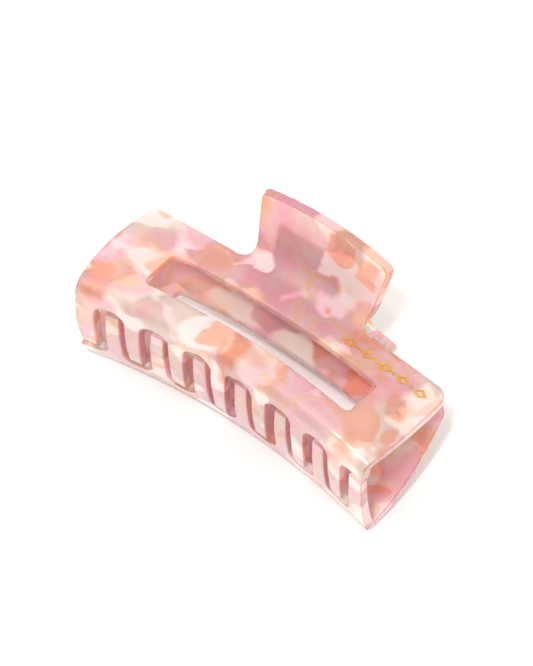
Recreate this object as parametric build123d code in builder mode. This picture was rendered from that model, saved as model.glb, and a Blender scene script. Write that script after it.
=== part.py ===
"""Rectangular claw hair clip in pressed acetate sheet, lying closed on its lower jaw.

Two identical jaws face each other across a sprung hinge.  Each jaw is one sheet bent into a
front wall cut into teeth, an arched roof with a slot, a valley over the pin and a handle.
Row frame: Z up from the table, X along the pin, Y from the teeth towards the handles.
Clip frame: origin on the pin, Z square to the closing plane; it leans back on the table.
"""

import os
from math import asin, atan2, cos, degrees, hypot, radians, sin, sqrt

from build123d import *

os.makedirs("parts", exist_ok=True)

# Hinge
pin_radius = 1.0
pin_running = 0.05  # the upper leaf turns freely on the pin
pin_press = 0.0  # the lower leaf grips it
knuckle_wall = 0.75
knuckle_length = 4.2
knuckle_gap = 0.15  # side play between neighbouring knuckles
pin_head_lip = 0.6  # head over the pin
pin_head_length = 0.7
leaf_sheet = 0.7
leaf_lift = 0.15  # leaf plate clear of the other leaf's knuckles
leaf_wrap = 12.0  # degrees of valley ahead of its lowest line
leaf_handle_length = 7.0
leaf_window_side = 0.4  # window in the leaf around the spring, to each side
leaf_window_reach = 3.0
prong_radius = 0.5
prong_length = 1.5
prong_fit = 0.02
prong_inset = 1.6  # outer prongs to the edges of their leaf
prong_spacing = 4.0  # up the handle

# Spring
wire = 0.7
spring_play = 0.15  # coil over the pin
spring_turns = 11
spring_gap = 0.06  # between neighbouring turns
spring_side_play = 0.3
spring_leg_bend = 1.3
spring_leg_length = 10.5
spring_touch = 0.01

# Jaw sheet
sheet = 2.8
edge_soft = 0.45  # tumbled rounding of the cut edges

# Jaw section
half_height = 18.7  # closing plane to the top of the roof
roof_depth = 29.6  # pin to the centre of the front bend
roof_fall = 35.0  # slope of the roof where it meets the valley
bend_inside = 0.4  # inside radius of the front bend
wall_radius = 108.0  # outward belly of the front wall
valley_radius = 5.0
handle_rise = 72.0
handle_length = 18.2

# Jaw in plan
bow_radius = 205.0  # at the front bend, about an axis ahead of the teeth
bow_lean = 10.5  # that axis leans back, which lifts both ends of the jaw
jaw_half_length = 45.0
end_flare = 1.4  # the rear corners stand out past the front ones
end_belly = 1.5
rear_edge = -0.6  # rear edge of the roof at the middle of the jaw
rear_sagitta = 2.2
rear_corner = 3.5
handle_root_half = 16.4
handle_root_fillet = 3.5
handle_tip_half = 21.0
handle_tip_sagitta = 2.0
handle_tip_corner = 2.6

# Slot in the roof
slot_end_bar = 13.2  # jaw end to slot end
slot_front_bar = 6.2  # front bend to slot
slot_rear_bar = 10.5  # slot to the rear edge
slot_corner = 1.4

# Teeth
tooth_count = 7
tooth_end_inset = 3.4  # centre of the end tooth to the jaw end
tooth_shift = 0.4  # all teeth, towards the full end tooth
tooth_root_width = 4.7
tooth_tip_width = 3.8
tooth_corner = 1.8
notch_bar = 2.3  # solid wall between the notches and the front bend
notch_round = 3.8
notch_flat = 0.1  # least half length of straight edge left between the rounds
tooth_gap = 1.8  # tooth tip short of the facing notch
end_tooth_lean = 0.6  # outer side of the first tooth, in over its length
comb_back = 5.6  # the notches are cut from this far behind the front bend

# Foil motif on the upper roof
motif_count = 5
motif_pitch = 5.7
motif_end = 5.2  # last motif to the rear corner
motif_setback = 5.3
motif_width = 3.9
motif_height = 3.3
motif_stroke = 0.55
motif_dot = 0.45
foil_depth = 0.1
foil_proud = 0.04

# Cutting bodies run past the sheet by these
cut_margin = 1.0
sweep_margin = 3.0  # degrees

# Derived lengths
rear_half_length = jaw_half_length + end_flare
slot_half_length = jaw_half_length - slot_end_bar
slot_front = slot_front_bar - roof_depth
slot_rear = rear_edge - slot_rear_bar
motif_start = rear_half_length - motif_end - (motif_count - 1) * motif_pitch
bend_radius = sheet + bend_inside

# Derived teeth: those of one jaw stand in the notches of the other
tooth_pitch = 2 * (jaw_half_length - tooth_end_inset) / (tooth_count - 0.5)
first_tooth = tooth_end_inset - jaw_half_length - tooth_shift
notch_top = half_height - bend_radius - notch_bar
notch_half = (tooth_pitch - tooth_root_width) / 2

# Derived hinge sizes
pin_head_radius = pin_radius + pin_head_lip
spring_pitch = wire + spring_gap
knuckle_radius = pin_radius + knuckle_wall
valley_floor = knuckle_radius + leaf_lift + leaf_sheet + sheet
spring_half = (spring_turns + 0.5) * spring_pitch / 2 + wire / 2 + spring_side_play
hinge_half = spring_half + 2 * (knuckle_length + knuckle_gap)

# Derived section: arcs tangent to one another, X here is the clip's Y and Y its Z
roof_down = Vector(sin(radians(roof_fall)), cos(radians(roof_fall)))
valley_center = Vector(0, valley_floor + valley_radius)
roof_end = valley_center - roof_down * valley_radius
bend_center = Vector(-roof_depth, half_height - bend_radius)
span = bend_center - roof_end
roof_radius = (bend_radius**2 - span.dot(span)) / (2 * (span.dot(roof_down) + bend_radius))
roof_center = roof_end - roof_down * roof_radius
roof_up = (bend_center - roof_center).normalized()
roof_start = bend_center + roof_up * bend_radius
wall_lean = asin(bend_center.Y / (wall_radius - bend_radius))
wall_center = Vector(bend_center.X + (wall_radius - bend_radius) * cos(wall_lean), 0)
wall_top = wall_center + Vector(-cos(wall_lean), sin(wall_lean)) * wall_radius
tooth_reach = notch_top - tooth_gap
tooth_tip = Vector(wall_center.X - sqrt(wall_radius**2 - tooth_reach**2), -tooth_reach)
handle_run = Vector(cos(radians(handle_rise)), sin(radians(handle_rise)))
handle_in = Vector(sin(radians(handle_rise)), -cos(radians(handle_rise)))
handle_start = valley_center + handle_in * valley_radius
handle_tip = handle_start + handle_run * handle_length

# The closed clip rests on the front bends of its lower jaw and on that jaw's handle tip
bow_sagitta = bow_radius - sqrt(bow_radius**2 - jaw_half_length**2)
bow_up = Vector(-cos(radians(bow_lean)), sin(radians(bow_lean)))
foot = bend_center + bow_up * bow_sagitta
reach = handle_tip - foot
lie_angle = degrees(atan2(reach.Y, reach.X) - asin(bend_radius / reach.length))
lie = Vector(cos(radians(lie_angle)), sin(radians(lie_angle)))
lie_up = Vector(-lie.Y, lie.X)
clip_height = foot.dot(lie_up) + bend_radius
front_most = foot.dot(Vector(lie.X, -lie.Y)) - bend_radius
tip_inside = handle_tip + handle_in * sheet
rear_most = tip_inside.dot(lie)
clip_y = -(front_most + rear_most) / 2

clip = Plane(
    origin=(0, clip_y, clip_height), x_dir=(1, 0, 0), z_dir=(0, -lie.Y, lie.X)
)
clip_below = Plane(origin=clip.origin, x_dir=-clip.x_dir, z_dir=-clip.z_dir)


def section_plane(seat, x=0.0):
    """Upright plane across the pin: its X is the seat's Y, its Y is the seat's Z."""
    return Plane(seat.origin + seat.x_dir * x, x_dir=seat.y_dir, z_dir=seat.x_dir)


def facing(seat, y, z, normal):
    """Plane through a point of the section, square to a direction of the section."""
    z_dir = seat.y_dir * normal.X + seat.z_dir * normal.Y
    return Plane(seat.origin + seat.y_dir * y + seat.z_dir * z, x_dir=seat.x_dir, z_dir=z_dir)


def bow_axis(seat):
    ahead = bend_center + bow_up * bow_radius
    return Axis(
        seat.origin + seat.y_dir * ahead.X + seat.z_dir * ahead.Y,
        seat.y_dir * bow_up.Y - seat.z_dir * bow_up.X,
    )


def swung(plane, axis, angle):
    """The plane carried round an axis."""
    start = axis.position + (plane.origin - axis.position).rotate(axis, angle)
    return Plane(start, x_dir=plane.x_dir.rotate(axis, angle), z_dir=plane.z_dir.rotate(axis, angle))


def on_roof(angle, depth=0.0):
    turn = Vector(sin(radians(angle)), cos(radians(angle)))
    return roof_center + turn * (roof_radius - depth)


def in_valley(angle, depth=0.0):
    turn = Vector(sin(radians(angle)), -cos(radians(angle)))
    return valley_center + turn * (valley_radius + depth)


def flat(point):
    return (point.X, point.Y)


def leaf_outline():
    """Section of a leaf: round under the valley and up the inside of the handle."""
    for depth in (sheet, sheet + leaf_sheet):
        rise = in_valley(handle_rise, depth)
        ThreePointArc(flat(in_valley(-leaf_wrap, depth)), flat(in_valley(0, depth)), flat(rise))
        Line(flat(rise), flat(rise + handle_run * leaf_handle_length))
    for angle, reach in ((-leaf_wrap, 0), (handle_rise, leaf_handle_length)):
        near, far = (in_valley(angle, d) + handle_run * reach for d in (sheet, sheet + leaf_sheet))
        Line(flat(near), flat(far))


def foil_outline():
    """Section of the foil layer, half of the roof long and let into its skin."""
    start = roof_fall / 2
    for depth in (-foil_proud, foil_depth):
        ThreePointArc(
            flat(on_roof(start, depth)),
            flat(on_roof((start + roof_fall) / 2, depth)),
            flat(on_roof(roof_fall, depth)),
        )
        ThreePointArc(
            flat(on_roof(roof_fall, depth)), flat(in_valley(0, depth)), flat(in_valley(roof_fall, depth))
        )
    for end in (lambda depth: on_roof(start, depth), lambda depth: in_valley(roof_fall, depth)):
        Line(flat(end(-foil_proud)), flat(end(foil_depth)))


def rear_line(x):
    radius = (rear_half_length**2 + rear_sagitta**2) / (2 * rear_sagitta)
    return rear_edge - radius + sqrt(radius**2 - x**2)


def bowed(x, y):
    """Plan line parallel to the front wall."""
    radius = bow_radius + roof_depth + y
    return y - radius + sqrt(radius**2 - x**2)


def prong_seats(seat, depth):
    """Planes on a leaf's handle flap where its prongs stand, looking into the jaw."""
    upper = leaf_handle_length - prong_inset
    side = hinge_half - prong_inset
    for reach in (upper, upper - prong_spacing):
        spot = in_valley(handle_rise, depth) + handle_run * reach
        plane = facing(seat, spot.X, spot.Y, -handle_in)
        for x in (-side, side):
            yield Plane(plane.origin + seat.x_dir * x, x_dir=plane.x_dir, z_dir=plane.z_dir)


wide = 2 * rear_half_length  # clear of the jaw on every side


def in_slot(seat, edge, reach):
    """Edges round the slot, on the top and the underside of the roof."""
    box = [seat.to_local_coords(edge @ t) for t in (0.0, 0.5, 1.0)]
    rear = slot_rear + edge_soft
    return all(abs(p.X) < reach and slot_front - sheet < p.Y < rear for p in box) and (
        edge.length > sheet + cut_margin or edge.geom_type != GeomType.LINE
    )


def build_jaw(seat):
    axis = bow_axis(seat)
    sweep = degrees(asin(rear_half_length / bow_radius)) + sweep_margin
    with BuildPart() as jaw:
        with BuildSketch(swung(section_plane(seat), axis, -sweep)):
            with BuildLine():
                wall = ThreePointArc(
                    flat(tooth_tip), (wall_center.X - wall_radius, 0), flat(wall_top)
                )
                bend = TangentArc(flat(wall_top), flat(roof_start), tangent=wall % 1)
                roof = TangentArc(flat(roof_start), flat(roof_end), tangent=bend % 1)
                valley = TangentArc(flat(roof_end), flat(handle_start), tangent=roof % 1)
                Line(valley @ 1, flat(handle_tip + handle_run))
                offset(amount=sheet, side=Side.RIGHT)
            make_face()
        revolve(axis=axis, revolution_arc=2 * sweep)

        with BuildSketch(seat) as plan:
            front = -roof_depth - bend_radius - bow_sagitta
            flare = (handle_tip_half - handle_root_half) / tip_inside.X
            far = tip_inside.X + sheet
            with BuildLine():
                for s in (-1, 1):
                    corner = (s * rear_half_length, rear_line(rear_half_length))
                    root = (s * handle_root_half, rear_line(handle_root_half))
                    half = (rear_half_length + handle_root_half) / 2
                    Line((0, 2 * front), (s * jaw_half_length, 2 * front))
                    Line((s * jaw_half_length, 2 * front), (s * jaw_half_length, front))
                    middle = ((jaw_half_length + rear_half_length) / 2 + end_belly, front / 2)
                    ThreePointArc((s * jaw_half_length, front), (s * middle[0], middle[1]), corner)
                    ThreePointArc(corner, (s * half, rear_line(half)), root)
                    Line(root, (s * (handle_root_half + flare * far), far))
                    Line((s * (handle_root_half + flare * far), far), (0, far))
            make_face()
            for s in (-1, 1):
                for x, radius in ((rear_half_length, rear_corner), (handle_root_half, handle_root_fillet)):
                    fillet(plan.vertices().sort_by_distance((s * x, rear_line(x), 0))[0], radius)
        extrude(amount=2 * half_height, both=True, mode=Mode.INTERSECT)

        with BuildSketch(seat) as slot:
            with BuildLine():
                for y in (slot_front, slot_rear):
                    edge = bowed(slot_half_length, y)
                    ThreePointArc((-slot_half_length, edge), (0, y), (slot_half_length, edge))
                for s in (-1, 1):
                    x = s * slot_half_length
                    Line((x, bowed(x, slot_front)), (x, bowed(x, slot_rear)))
            make_face()
            fillet(slot.vertices(), slot_corner)
        extrude(amount=2 * half_height, mode=Mode.SUBTRACT)

        comb_seat = facing(seat, comb_back - roof_depth, 0, Vector(-1, 0))
        with BuildSketch(comb_seat) as comb:
            with BuildLine():
                Polyline((-wide, notch_top), (wide, notch_top), (wide, -wide), (-wide, -wide), close=True)
            make_face()
            for i in range(tooth_count):
                x = first_tooth + i * tooth_pitch
                outer = (x - tooth_root_width / 2, x - tooth_tip_width / 2)
                if i == 0:
                    outer = (-jaw_half_length - end_tooth_lean, -jaw_half_length + end_tooth_lean)
                with BuildLine():
                    Polyline(
                        (outer[0], notch_top),
                        (outer[1], -tooth_reach),
                        (x + tooth_tip_width / 2, -tooth_reach),
                        (x + tooth_root_width / 2, notch_top),
                        close=True,
                    )
                make_face(mode=Mode.SUBTRACT)
            corners = comb.vertices().filter_by(lambda v: abs(v.X) < rear_half_length)
            fillet(corners.group_by(Axis.Y)[-1], min(notch_round, notch_half - notch_flat))
            fillet(corners.group_by(Axis.Y)[0], tooth_corner)
        extrude(amount=roof_depth, mode=Mode.SUBTRACT)

        with BuildSketch(facing(seat, handle_tip.X, handle_tip.Y, -handle_in)) as tip:
            with BuildLine():
                side = handle_tip_half + 2 * sheet
                radius = (handle_tip_half**2 + handle_tip_sagitta**2) / (2 * handle_tip_sagitta)
                drop = sqrt(radius**2 - side**2) - radius
                ThreePointArc((-side, drop), (0, 0), (side, drop))
                Polyline((side, drop), (side, sheet), (-side, sheet), (-side, drop))
            make_face()
        extrude(amount=2 * sheet, both=True, mode=Mode.SUBTRACT)
        for s in (-1, 1):
            corner = facing(seat, handle_tip.X, handle_tip.Y, -handle_in).from_local_coords(
                (s * handle_tip_half, -handle_tip_sagitta, -sheet / 2)
            )
            short = jaw.edges().filter_by(lambda e: e.length < sheet + cut_margin)
            fillet(short.sort_by_distance(corner)[0], handle_tip_corner)

        inner = slot_half_length + edge_soft
        rims = jaw.edges().filter_by(lambda e: in_slot(seat, e, inner))
        fillet(rims, edge_soft)

        for prong in prong_seats(seat, sheet + leaf_sheet / 2):
            with BuildSketch(prong):
                Circle(prong_radius + prong_fit)
            extrude(amount=leaf_sheet / 2 + prong_length + prong_fit, mode=Mode.SUBTRACT)
    return jaw


def build_leaf(seat, bore_play):
    axis = bow_axis(seat)
    sweep = degrees(asin(hinge_half / bow_radius)) + sweep_margin
    with BuildPart() as leaf:
        with BuildSketch(swung(section_plane(seat), axis, -sweep)):
            with BuildLine():
                leaf_outline()
            make_face()
        revolve(axis=axis, revolution_arc=2 * sweep)
        with BuildSketch(seat):
            Rectangle(2 * hinge_half, roof_depth)
        extrude(amount=half_height, mode=Mode.INTERSECT)
        with BuildSketch(seat):
            Rectangle(2 * (spring_half + leaf_window_side), 2 * leaf_window_reach)
        extrude(amount=half_height, mode=Mode.SUBTRACT)
        outer = hinge_half - knuckle_length / 2
        inner = spring_half + knuckle_gap + knuckle_length / 2
        for x in (-outer, inner):
            with BuildSketch(section_plane(seat, x)):
                web = knuckle_radius + leaf_lift + leaf_sheet / 2
                Circle(knuckle_radius)
                Rectangle(2 * leaf_sheet, web, align=(Align.CENTER, Align.MIN))
                Circle(pin_radius + bore_play, mode=Mode.SUBTRACT)
            extrude(amount=knuckle_length / 2, both=True)
        for prong in prong_seats(seat, sheet + leaf_sheet / 2):
            with BuildSketch(prong):
                Circle(prong_radius)
            extrude(amount=prong_length + leaf_sheet / 2)
    return leaf


def build_foil(seat):
    """Row of open diamonds and dots along the rear edge of the roof, let into the skin."""
    axis = bow_axis(seat)
    sweep = degrees(asin(rear_half_length / bow_radius))
    with BuildPart() as foil:
        with BuildSketch(swung(section_plane(seat), axis, -sweep)):
            with BuildLine():
                foil_outline()
            make_face()
        revolve(axis=axis, revolution_arc=sweep)
        with BuildSketch(seat):
            for i in range(motif_count):
                x = motif_start + i * motif_pitch
                with Locations((x, rear_line(x) - motif_setback)):
                    for shrink, mode in ((0, Mode.ADD), (motif_stroke, Mode.SUBTRACT)):
                        half_x = motif_width / 2 - shrink * hypot(1, motif_width / motif_height)
                        half_y = motif_height / 2 - shrink * hypot(1, motif_height / motif_width)
                        Polygon((-half_x, 0), (0, -half_y), (half_x, 0), (0, half_y), mode=mode)
            for i in range(motif_count - 1):
                x = motif_start + (i + 0.5) * motif_pitch
                with Locations((x, rear_line(x) - motif_setback)):
                    Circle(motif_dot)
        extrude(amount=half_height, mode=Mode.INTERSECT)
    return foil


foil_emblem = build_foil(clip)

with BuildPart() as upper_jaw:
    add(build_jaw(clip).part)
    add(foil_emblem.part, mode=Mode.SUBTRACT)

lower_jaw = build_jaw(clip_below)
upper_leaf = build_leaf(clip, pin_running)
lower_leaf = build_leaf(clip_below, pin_press)

with BuildPart() as hinge_pin:
    with BuildSketch(section_plane(clip)):
        Circle(pin_radius)
    extrude(amount=hinge_half + knuckle_gap, both=True)
    for end in (clip, clip_below):
        with BuildSketch(section_plane(end, hinge_half + knuckle_gap)):
            Circle(pin_head_radius)
        extrude(amount=pin_head_length)
    fillet(hinge_pin.faces().sort_by(Axis.X)[0].edges(), pin_head_length / 2)
    fillet(hinge_pin.faces().sort_by(Axis.X)[-1].edges(), pin_head_length / 2)

coil_radius = pin_radius + spring_play + wire / 2
coil_half = (spring_turns + 0.5) * spring_pitch / 2
coil_end = Plane(clip.origin - clip.x_dir * coil_half, x_dir=-clip.z_dir, z_dir=clip.x_dir)
coil = coil_end * Helix(pitch=spring_pitch, height=2 * coil_half, radius=coil_radius, lefthand=True)
leg_depth = valley_radius + sheet + leaf_sheet + spring_touch + wire / 2
leg_reach = (leg_depth - (valley_center.Y - coil_radius) * -handle_in.Y) / handle_in.X


def spring_leg(seat, start, leaving):
    """Leg from one end of the coil, bent to lie along the handle flap of a leaf."""
    rise = seat.y_dir * handle_run.X + seat.z_dir * handle_run.Y
    leaving = leaving.normalized()
    bend = Plane(start, x_dir=leaving, z_dir=leaving.cross(rise))
    turn = radians(leaving.get_angle(rise))
    with BuildLine(bend) as leg:
        FilletPolyline(
            (0, 0),
            (leg_reach, 0),
            (leg_reach + spring_leg_length * cos(turn), spring_leg_length * sin(turn)),
            radius=spring_leg_bend,
        )
    return leg.line


upper_leg = spring_leg(clip, coil @ 1, coil % 1)
lower_leg = spring_leg(clip_below, coil @ 0, (coil % 0) * -1)
spring_wire = Wire([*lower_leg.edges(), *coil.edges(), *upper_leg.edges()])

with BuildPart() as torsion_spring:
    with BuildSketch(Plane(origin=spring_wire @ 0, z_dir=spring_wire % 0)):
        Circle(wire / 2)
    sweep(path=spring_wire)

pieces = {
    "upper_jaw": upper_jaw,
    "lower_jaw": lower_jaw,
    "upper_leaf": upper_leaf,
    "lower_leaf": lower_leaf,
    "hinge_pin": hinge_pin,
    "torsion_spring": torsion_spring,
    "foil_emblem": foil_emblem,
}
for name, piece in pieces.items():
    piece.part.label = name
    export_step(piece.part, f"parts/{name}.step")
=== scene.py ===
"""Rectangular claw hair clip in marbled acetate, lying closed on a pale table."""

import bpy
from mathutils import Matrix, Vector


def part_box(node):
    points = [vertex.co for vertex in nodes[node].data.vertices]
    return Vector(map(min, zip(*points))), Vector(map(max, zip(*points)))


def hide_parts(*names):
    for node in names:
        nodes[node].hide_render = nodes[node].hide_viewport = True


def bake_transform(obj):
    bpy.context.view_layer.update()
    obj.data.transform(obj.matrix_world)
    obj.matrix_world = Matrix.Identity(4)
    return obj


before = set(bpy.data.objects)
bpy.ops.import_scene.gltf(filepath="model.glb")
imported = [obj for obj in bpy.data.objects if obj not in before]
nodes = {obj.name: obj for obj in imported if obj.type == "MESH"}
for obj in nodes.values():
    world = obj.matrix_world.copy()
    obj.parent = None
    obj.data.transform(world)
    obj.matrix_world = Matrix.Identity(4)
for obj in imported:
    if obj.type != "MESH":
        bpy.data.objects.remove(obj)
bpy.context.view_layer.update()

MM = 0.001
FLOOR_HALF = 3.0  # table top, from its middle to each edge
SKIN_VOXEL = 0.3 * MM
SKIN_SMOOTHING = 5  # passes that round the cut edges
TIP_DEPTH = 9 * MM  # the handle's top, where only its cut face looks up
WORLD_STRENGTH = 0.92
EYE = (0.489573, -0.818201, 1.551284)
LENS = 380.08


# ---------------------------------------------------------------- node helpers
class Tree:
    """Short calls for building one material's nodes."""

    def __init__(self, name):
        self.mat = bpy.data.materials.new(name)
        self.mat.use_nodes = True
        self.nt = self.mat.node_tree
        self.nt.nodes.clear()
        self.out = self.nt.nodes.new("ShaderNodeOutputMaterial")
        self.bsdf = self.nt.nodes.new("ShaderNodeBsdfPrincipled")
        self.link(self.bsdf.outputs[0], self.out.inputs["Surface"])

    def link(self, a, b):
        self.nt.links.new(a, b)

    def node(self, kind, links=None, **settings):
        n = self.nt.nodes.new(kind)
        for key, value in settings.items():
            setattr(n, key, value)
        for key, value in (links or {}).items():
            if isinstance(value, bpy.types.NodeSocket):
                self.link(value, n.inputs[key])
            else:
                n.inputs[key].default_value = value
        return n

    def set(self, **values):
        for key, value in values.items():
            socket = self.bsdf.inputs[key.replace("_", " ")]
            if isinstance(value, bpy.types.NodeSocket):
                self.link(value, socket)
            else:
                socket.default_value = value

    def coords(self, shift=(0, 0, 0), turn=(0, 0, 0), scale=(1, 1, 1)):
        tex = self.node("ShaderNodeTexCoord")
        return self.node(
            "ShaderNodeMapping",
            {"Vector": tex.outputs["Object"], "Location": shift, "Rotation": turn, "Scale": scale},
        ).outputs[0]

    def noise(self, vector, scale, detail=2.0, rough=0.5):
        return self.node(
            "ShaderNodeTexNoise",
            {"Vector": vector, "Scale": scale, "Detail": detail, "Roughness": rough},
        )

    def warped(self, vector, scale, amount, detail=2.0):
        n = self.noise(vector, scale, detail)
        centred = self.node(
            "ShaderNodeVectorMath", {0: n.outputs["Color"], 1: (0.5, 0.5, 0.5)}, operation="SUBTRACT"
        )
        grown = self.node(
            "ShaderNodeVectorMath",
            {0: centred.outputs[0], 1: (amount,) * 3, 2: vector},
            operation="MULTIPLY_ADD",
        )
        return grown.outputs[0]

    def cells(self, vector, scale, smooth):
        v = self.node(
            "ShaderNodeTexVoronoi",
            {"Vector": vector, "Scale": scale, "Smoothness": smooth},
            feature="SMOOTH_F1",
            distance="CHEBYCHEV",
        )
        return self.node("ShaderNodeSeparateColor", {0: v.outputs["Color"]}).outputs

    def ramp(self, fac, stops):
        r = self.node("ShaderNodeValToRGB", {0: fac})
        r.color_ramp.interpolation = "EASE"
        e = r.color_ramp.elements
        while len(e) < len(stops):
            e.new(0.5)
        for item, (at, colour) in zip(e, stops):
            item.position = at
            item.color = colour if len(colour) == 4 else (*colour, 1)
        return r.outputs[0]

    def grey(self, fac, stops):
        return self.ramp(fac, [(at, (v, v, v)) for at, v in stops])

    def mix(self, fac, a, b):
        return self.node("ShaderNodeMix", {0: fac, 6: a, 7: b}, data_type="RGBA").outputs[2]

    def maths(self, how, a, b=0.0):
        return self.node("ShaderNodeMath", {0: a, 1: b}, operation=how).outputs[0]


def srgb(code):
    """Linear colour of a hex code."""
    out = []
    for i in (0, 2, 4):
        c = int(code[i : i + 2], 16) / 255
        out.append(c / 12.92 if c <= 0.04045 else ((c + 0.055) / 1.055) ** 2.4)
    return (*out, 1.0)


# ---------------------------------------------------------------- acetate
BIG_CELLS = 66
CHIP_CELLS = 112
HOT_CELLS = 96
CLEAR = 0.54  # share of the light that goes straight through the sheet
CREAM = srgb("F2DFD5")
PEARL = srgb("EAE3DE")
BLUSH = srgb("F8D2D5")
PINK = srgb("FDC2CC")
ROSE = srgb("F3899F")
PEACH = srgb("FCCDAE")
APRICOT = srgb("F7AD87")
ORANGE = srgb("EE9262")


def acetate(name, shift, turn, tip_above=None):
    """Pressed chips of pearly cream, pink and peach acetate with a few of burnt orange."""
    t = Tree(name)
    place = t.coords(shift, turn)
    soft = t.warped(place, 75, 0.009, 1)
    fine = t.warped(place, 260, 0.0022)

    big = t.cells(soft, BIG_CELLS, 0.9)
    body_colours = [
        (0.30, CREAM),
        (0.40, BLUSH),
        (0.48, PINK),
        (0.56, BLUSH),
        (0.64, PEACH),
        (0.72, BLUSH),
        (0.80, PINK),
    ]
    base = t.ramp(big[0], body_colours)
    chips = t.cells(t.warped(place, 120, 0.005, 1), CHIP_CELLS, 0.7)
    base = t.mix(t.grey(chips[1], [(0.52, 0), (0.72, 0.6)]), base, PINK)
    base = t.mix(t.grey(big[2], [(0.54, 0), (0.72, 0.7)]), base, PEACH)
    base = t.mix(t.grey(chips[2], [(0.56, 0), (0.72, 0.8)]), base, PEARL)
    hot = t.cells(soft, HOT_CELLS, 0.75)
    base = t.mix(t.grey(hot[0], [(0.60, 0), (0.78, 0.65)]), base, APRICOT)
    base = t.mix(t.grey(hot[1], [(0.68, 0), (0.84, 0.6)]), base, ORANGE)

    long = t.coords(shift, turn, (1.0, 0.22, 1.0))
    silk = t.noise(t.warped(long, 200, 0.004), 300, 4, 0.6).outputs[0]
    base = t.mix(t.grey(silk, [(0.52, 0), (0.74, 0.45)]), base, PEARL)

    # painted glow: the cut edges are coloured rose and orange for the light that runs inside the
    # sheet and comes out there
    point = t.node("ShaderNodeNewGeometry").outputs["Pointiness"]
    edge_glow_colour = t.mix(t.grey(hot[2], [(0.42, 0), (0.58, 1)]), ROSE, ORANGE)
    here = t.node("ShaderNodeTexCoord")
    facing = t.node("ShaderNodeSeparateXYZ", {0: here.outputs["Normal"]}).outputs
    # pointiness has stray single vertices on flat faces, so the painted edge glow stays off them
    flat = t.maths("MAXIMUM", t.maths("ABSOLUTE", facing["Y"]), t.maths("ABSOLUTE", facing["Z"]))
    convex = t.grey(point, [(0.512, 0), (0.532, 0.85)])
    rim_glow = t.maths("MULTIPLY", convex, t.grey(flat, [(0.87, 1), (0.93, 0)]))
    base = t.mix(rim_glow, base, edge_glow_colour)
    # painted glow also on the cut faces across the length and on the handle's top cut face
    cut_face_glow = t.grey(t.maths("ABSOLUTE", facing["X"]), [(0.6, 0), (0.85, 0.7)])
    if tip_above:
        height = t.node("ShaderNodeSeparateXYZ", {0: here.outputs["Object"]}).outputs["Z"]
        above = t.maths("GREATER_THAN", height, tip_above)
        tip = t.maths("MULTIPLY", above, t.grey(facing["Z"], [(0.5, 0), (0.75, 0.85)]))
        cut_face_glow = t.maths("MAXIMUM", cut_face_glow, tip)
    base = t.mix(cut_face_glow, base, t.mix(0.5, edge_glow_colour, base))

    milk = t.grey(chips[2], [(0.4, 0.0), (0.70, 0.4)])
    clear = t.maths("SUBTRACT", CLEAR, milk)
    t.set(
        Base_Color=base,
        Roughness=t.grey(t.noise(fine, 420, 3).outputs[0], [(0.3, 0.07), (0.7, 0.15)]),
        IOR=1.48,
        Transmission_Weight=clear,
        Subsurface_Weight=1.0,
        Subsurface_Scale=0.004,
        Subsurface_Radius=(1.0, 0.6, 0.5),
        Coat_Weight=0.7,
        Coat_Roughness=0.02,
        Coat_IOR=1.5,
    )
    ripple = t.node(
        "ShaderNodeBump",
        {"Height": t.noise(fine, 90, 2).outputs[0], "Strength": 0.12, "Distance": 0.0004},
    )
    t.set(Normal=ripple.outputs[0], Coat_Normal=ripple.outputs[0])
    return t.mat


# ---------------------------------------------------------------- gold
def gold(name, light, dark, scale, stretch, rough, bump):
    """Plated metal with the fine lines of its forming."""
    t = Tree(name)
    lines = t.noise(t.coords(scale=stretch), scale, 4, 0.6).outputs[0]
    cloud = t.noise(t.coords(), scale / 6, 2).outputs[0]
    t.set(
        Base_Color=t.mix(t.grey(cloud, [(0.35, 0), (0.7, 1)]), dark, light),
        Metallic=1.0,
        Roughness=t.grey(lines, [(0.3, rough), (0.7, rough + 0.16)]),
    )
    b = t.node("ShaderNodeBump", {"Height": lines, "Strength": bump, "Distance": 0.0001})
    t.set(Normal=b.outputs[0])
    return t.mat


handle_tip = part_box("upper_jaw")[1].z - TIP_DEPTH

mats = {
    "upper_jaw": acetate("acetate_upper", (0.013, 0.021, 0.004), (0.25, 0.1, 0.5), handle_tip),
    "lower_jaw": acetate("acetate_lower", (0.071, 0.05, 0.033), (0.1, 0.4, 0.9)),
    "upper_leaf": gold("gold_plate", srgb("FBC870"), srgb("E9A348"), 900, (1, 0.15, 0.15), 0.3, 0.25),
    "hinge_pin": gold("gold_pin", srgb("F2C069"), srgb("DC9440"), 700, (0.1, 1, 1), 0.16, 0.2),
    "torsion_spring": gold("gold_wire", srgb("EFB455"), srgb("C97C2A"), 1100, (1, 1, 1), 0.22, 0.25),
    "foil_emblem": gold("gold_foil", srgb("FFCB5A"), srgb("F7AE3A"), 1500, (1, 1, 1), 0.34, 0.3),
}
mats["lower_leaf"] = mats["upper_leaf"]
for name, node in nodes.items():
    node.data.materials.clear()
    node.data.materials.append(mats[name])

# tumbling rounds every cut edge of the acetate
for name in ("upper_jaw", "lower_jaw"):
    skin = nodes[name].modifiers.new("skin", "REMESH")
    skin.mode = "VOXEL"
    skin.voxel_size = SKIN_VOXEL
    skin.use_smooth_shade = True
    round_off = nodes[name].modifiers.new("tumbled", "SMOOTH")
    round_off.factor = 0.5
    round_off.iterations = SKIN_SMOOTHING

# the spring is drawn from a copy of its mesh, and the imported spring is hidden
spring = bpy.data.objects.new("spring_wire", nodes["torsion_spring"].data.copy())
bpy.context.scene.collection.objects.link(spring)
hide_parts("torsion_spring")
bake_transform(spring)

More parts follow.
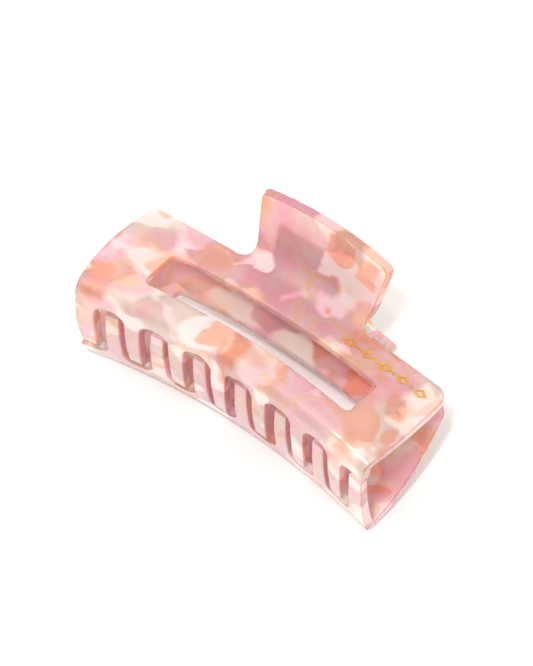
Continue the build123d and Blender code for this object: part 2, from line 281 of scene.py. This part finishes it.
# ---------------------------------------------------------------- table and light
floor_mesh = bpy.data.meshes.new("floor")
corners = [(x * FLOOR_HALF, y * FLOOR_HALF, 0) for x, y in ((-1, -1), (1, -1), (1, 1), (-1, 1))]
floor_mesh.from_pydata(corners, [], [(0, 1, 2, 3)])
floor = bpy.data.objects.new("floor", floor_mesh)
bpy.context.scene.collection.objects.link(floor)
paper = Tree("paper")
grain = paper.noise(paper.coords(), 60, 3).outputs[0]
paper.set(
    Base_Color=paper.mix(grain, srgb("FBF9F8"), srgb("FDFCFB")),
    Roughness=0.9,
    Specular_IOR_Level=0.1,
)
floor_mesh.materials.append(paper.mat)

world = bpy.data.worlds.new("studio")
bpy.context.scene.world = world
world.use_nodes = True
world.node_tree.nodes["Background"].inputs[0].default_value = (1.0, 0.99, 0.98, 1)
world.node_tree.nodes["Background"].inputs[1].default_value = WORLD_STRENGTH


def softbox(name, at, aim, size, power, colour=(1, 1, 1)):
    lamp = bpy.data.lights.new(name, "AREA")
    lamp.shape = "SQUARE"
    lamp.size = size
    lamp.energy = power
    lamp.color = colour
    o = bpy.data.objects.new(name, lamp)
    o.location = at
    o.rotation_euler = (Vector(aim) - Vector(at)).to_track_quat("-Z", "Y").to_euler()
    bpy.context.scene.collection.objects.link(o)


softbox("key", (0.18, -0.62, 1.4), (0, 0, 0.02), 0.12, 9, (1.0, 0.98, 0.96))
softbox("spark", (-0.55, -0.35, 1.3), (0, 0, 0.02), 0.05, 1.5)
softbox("side", (-1.2, 0.15, 0.9), (0, 0, 0.02), 0.4, 2.5)

scene = bpy.context.scene
scene.view_settings.view_transform = "Standard"

# ---------------------------------------------------------------- camera
look = Vector((-0.2734193, 0.4531842, -0.8484492))
up = Vector((-0.5171337, 0.6744869, 0.5269157))
right = look.cross(up)
camera = bpy.data.cameras.new("camera")
camera.lens = LENS
camera.sensor_width = 36
camera.clip_start = 0.1
camera.clip_end = 20
eye = bpy.data.objects.new("camera", camera)
eye.matrix_world = Matrix.Translation(EYE) @ (
    Matrix((right, up, -look)).transposed().to_4x4()
)
scene.collection.objects.link(eye)
scene.camera = eye
